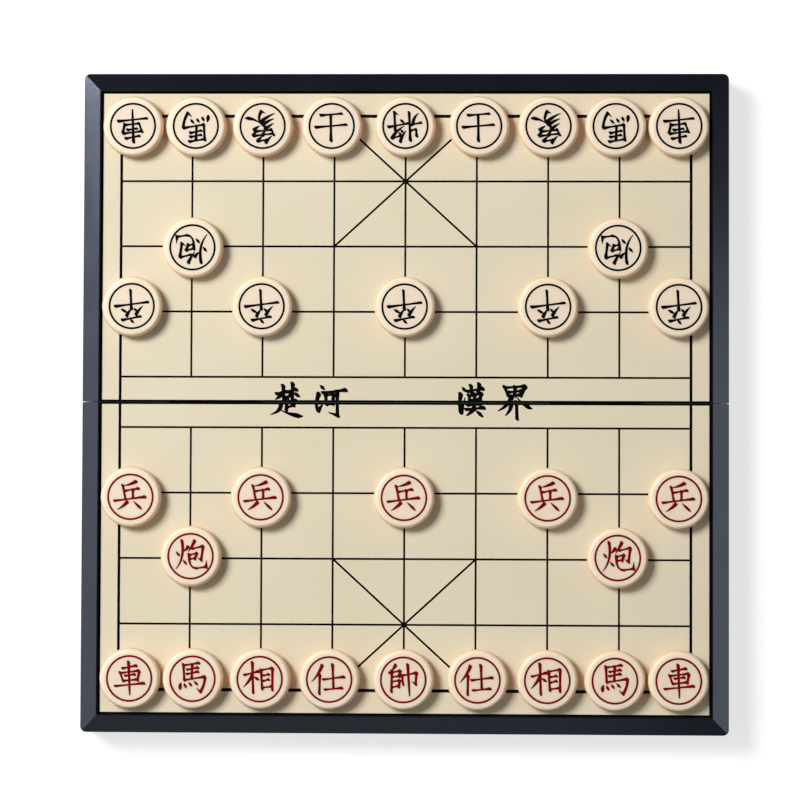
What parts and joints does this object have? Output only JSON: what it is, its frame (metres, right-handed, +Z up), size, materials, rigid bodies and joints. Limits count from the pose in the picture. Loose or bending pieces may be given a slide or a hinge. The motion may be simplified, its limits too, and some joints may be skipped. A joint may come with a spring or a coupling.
{
  "type": "folding magnetic xiangqi case with men",
  "caption": "Folding board game case, open flat: two hinged plastic trays with a xiangqi board on their outer faces, clasps, and round men standing on it.",
  "frame": {"origin": "on the table, under the middle of the fold of the open case", "axes": "+X along the fold to the near player's right, +Y towards the far player, +Z up from the board"},
  "size_m": [0.32, 0.3268, 0.0267],
  "materials": {
    "case_plastic": "satin moulded plastic, dark blue-grey",
    "board_film": "matt printed film, cream",
    "steel_sheet": "thin zinc-plated sheet",
    "pin_steel": "drawn steel wire",
    "men_ivory": "glossy ivory plastic",
    "red_paint": "dark red paint in the engraved lines of the near men",
    "black_paint": "black paint in the engraved lines of the far men, and the black print of the board"
  },
  "bodies": {
    "near_half": {"near_case_shell": "case_plastic", "near_steel_sheet": "steel_sheet", "near_board_film": "board_film", "hinge_pin_left": "pin_steel", "hinge_pin_right": "pin_steel", "clasp_pin_left": "pin_steel", "clasp_pin_right": "pin_steel"},
    "far_half": {"far_case_shell": "case_plastic", "far_steel_sheet": "steel_sheet", "far_board_film": "board_film"},
    "clasp_left_flap": {"clasp_left": "case_plastic"},
    "clasp_right_flap": {"clasp_right": "case_plastic"},
    "red_advisor_left_man": {"red_advisor_left": "men_ivory"},
    "red_advisor_right_man": {"red_advisor_right": "men_ivory"},
    "red_cannon_left_man": {"red_cannon_left": "men_ivory"},
    "red_cannon_right_man": {"red_cannon_right": "men_ivory"},
    "red_chariot_left_man": {"red_chariot_left": "men_ivory"},
    "red_chariot_right_man": {"red_chariot_right": "men_ivory"},
    "red_elephant_left_man": {"red_elephant_left": "men_ivory"},
    "red_elephant_right_man": {"red_elephant_right": "men_ivory"},
    "red_general_man": {"red_general": "men_ivory"},
    "red_horse_left_man": {"red_horse_left": "men_ivory"},
    "red_horse_right_man": {"red_horse_right": "men_ivory"},
    "red_soldier_1_man": {"red_soldier_1": "men_ivory"},
    "red_soldier_2_man": {"red_soldier_2": "men_ivory"},
    "red_soldier_3_man": {"red_soldier_3": "men_ivory"},
    "red_soldier_4_man": {"red_soldier_4": "men_ivory"},
    "red_soldier_5_man": {"red_soldier_5": "men_ivory"},
    "black_advisor_left_man": {"black_advisor_left": "men_ivory"},
    "black_advisor_right_man": {"black_advisor_right": "men_ivory"},
    "black_cannon_left_man": {"black_cannon_left": "men_ivory"},
    "black_cannon_right_man": {"black_cannon_right": "men_ivory"},
    "black_chariot_left_man": {"black_chariot_left": "men_ivory"},
    "black_chariot_right_man": {"black_chariot_right": "men_ivory"},
    "black_elephant_left_man": {"black_elephant_left": "men_ivory"},
    "black_elephant_right_man": {"black_elephant_right": "men_ivory"},
    "black_general_man": {"black_general": "men_ivory"},
    "black_horse_left_man": {"black_horse_left": "men_ivory"},
    "black_horse_right_man": {"black_horse_right": "men_ivory"},
    "black_soldier_1_man": {"black_soldier_1": "men_ivory"},
    "black_soldier_2_man": {"black_soldier_2": "men_ivory"},
    "black_soldier_3_man": {"black_soldier_3": "men_ivory"},
    "black_soldier_4_man": {"black_soldier_4": "men_ivory"},
    "black_soldier_5_man": {"black_soldier_5": "men_ivory"}
  },
  "joints": [
    {"name": "fold", "type": "hinge", "parent": "near_half", "child": "far_half", "pos_m": [0, 0, 0.0024], "axis": [-1, 0, 0], "range_deg": [0, 180]},
    {"name": "clasp_left_flip", "type": "hinge", "parent": "near_half", "child": "clasp_left_flap", "pos_m": [-0.095, -0.1618, 0.0055], "axis": [1, 0, 0], "range_deg": [0, 180]},
    {"name": "clasp_right_flip", "type": "hinge", "parent": "near_half", "child": "clasp_right_flap", "pos_m": [0.095, -0.1618, 0.0055], "axis": [1, 0, 0], "range_deg": [0, 180]},
    {"name": "red_advisor_left_lift", "type": "slide", "parent": "near_half", "child": "red_advisor_left_man", "axis": [0, 0, 1], "range_m": [0, 0.03]},
    {"name": "red_advisor_right_lift", "type": "slide", "parent": "near_half", "child": "red_advisor_right_man", "axis": [0, 0, 1], "range_m": [0, 0.03]},
    {"name": "red_cannon_left_lift", "type": "slide", "parent": "near_half", "child": "red_cannon_left_man", "axis": [0, 0, 1], "range_m": [0, 0.03]},
    {"name": "red_cannon_right_lift", "type": "slide", "parent": "near_half", "child": "red_cannon_right_man", "axis": [0, 0, 1], "range_m": [0, 0.03]},
    {"name": "red_chariot_left_lift", "type": "slide", "parent": "near_half", "child": "red_chariot_left_man", "axis": [0, 0, 1], "range_m": [0, 0.03]},
    {"name": "red_chariot_right_lift", "type": "slide", "parent": "near_half", "child": "red_chariot_right_man", "axis": [0, 0, 1], "range_m": [0, 0.03]},
    {"name": "red_elephant_left_lift", "type": "slide", "parent": "near_half", "child": "red_elephant_left_man", "axis": [0, 0, 1], "range_m": [0, 0.03]},
    {"name": "red_elephant_right_lift", "type": "slide", "parent": "near_half", "child": "red_elephant_right_man", "axis": [0, 0, 1], "range_m": [0, 0.03]},
    {"name": "red_general_lift", "type": "slide", "parent": "near_half", "child": "red_general_man", "axis": [0, 0, 1], "range_m": [0, 0.03]},
    {"name": "red_horse_left_lift", "type": "slide", "parent": "near_half", "child": "red_horse_left_man", "axis": [0, 0, 1], "range_m": [0, 0.03]},
    {"name": "red_horse_right_lift", "type": "slide", "parent": "near_half", "child": "red_horse_right_man", "axis": [0, 0, 1], "range_m": [0, 0.03]},
    {"name": "red_soldier_1_lift", "type": "slide", "parent": "near_half", "child": "red_soldier_1_man", "axis": [0, 0, 1], "range_m": [0, 0.03]},
    {"name": "red_soldier_2_lift", "type": "slide", "parent": "near_half", "child": "red_soldier_2_man", "axis": [0, 0, 1], "range_m": [0, 0.03]},
    {"name": "red_soldier_3_lift", "type": "slide", "parent": "near_half", "child": "red_soldier_3_man", "axis": [0, 0, 1], "range_m": [0, 0.03]},
    {"name": "red_soldier_4_lift", "type": "slide", "parent": "near_half", "child": "red_soldier_4_man", "axis": [0, 0, 1], "range_m": [0, 0.03]},
    {"name": "red_soldier_5_lift", "type": "slide", "parent": "near_half", "child": "red_soldier_5_man", "axis": [0, 0, 1], "range_m": [0, 0.03]},
    {"name": "black_advisor_left_lift", "type": "slide", "parent": "far_half", "child": "black_advisor_left_man", "axis": [0, 0, 1], "range_m": [0, 0.03]},
    {"name": "black_advisor_right_lift", "type": "slide", "parent": "far_half", "child": "black_advisor_right_man", "axis": [0, 0, 1], "range_m": [0, 0.03]},
    {"name": "black_cannon_left_lift", "type": "slide", "parent": "far_half", "child": "black_cannon_left_man", "axis": [0, 0, 1], "range_m": [0, 0.03]},
    {"name": "black_cannon_right_lift", "type": "slide", "parent": "far_half", "child": "black_cannon_right_man", "axis": [0, 0, 1], "range_m": [0, 0.03]},
    {"name": "black_chariot_left_lift", "type": "slide", "parent": "far_half", "child": "black_chariot_left_man", "axis": [0, 0, 1], "range_m": [0, 0.03]},
    {"name": "black_chariot_right_lift", "type": "slide", "parent": "far_half", "child": "black_chariot_right_man", "axis": [0, 0, 1], "range_m": [0, 0.03]},
    {"name": "black_elephant_left_lift", "type": "slide", "parent": "far_half", "child": "black_elephant_left_man", "axis": [0, 0, 1], "range_m": [0, 0.03]},
    {"name": "black_elephant_right_lift", "type": "slide", "parent": "far_half", "child": "black_elephant_right_man", "axis": [0, 0, 1], "range_m": [0, 0.03]},
    {"name": "black_general_lift", "type": "slide", "parent": "far_half", "child": "black_general_man", "axis": [0, 0, 1], "range_m": [0, 0.03]},
    {"name": "black_horse_left_lift", "type": "slide", "parent": "far_half", "child": "black_horse_left_man", "axis": [0, 0, 1], "range_m": [0, 0.03]},
    {"name": "black_horse_right_lift", "type": "slide", "parent": "far_half", "child": "black_horse_right_man", "axis": [0, 0, 1], "range_m": [0, 0.03]},
    {"name": "black_soldier_1_lift", "type": "slide", "parent": "far_half", "child": "black_soldier_1_man", "axis": [0, 0, 1], "range_m": [0, 0.03]},
    {"name": "black_soldier_2_lift", "type": "slide", "parent": "far_half", "child": "black_soldier_2_man", "axis": [0, 0, 1], "range_m": [0, 0.03]},
    {"name": "black_soldier_3_lift", "type": "slide", "parent": "far_half", "child": "black_soldier_3_man", "axis": [0, 0, 1], "range_m": [0, 0.03]},
    {"name": "black_soldier_4_lift", "type": "slide", "parent": "far_half", "child": "black_soldier_4_man", "axis": [0, 0, 1], "range_m": [0, 0.03]},
    {"name": "black_soldier_5_lift", "type": "slide", "parent": "far_half", "child": "black_soldier_5_man", "axis": [0, 0, 1], "range_m": [0, 0.03]}
  ]
}
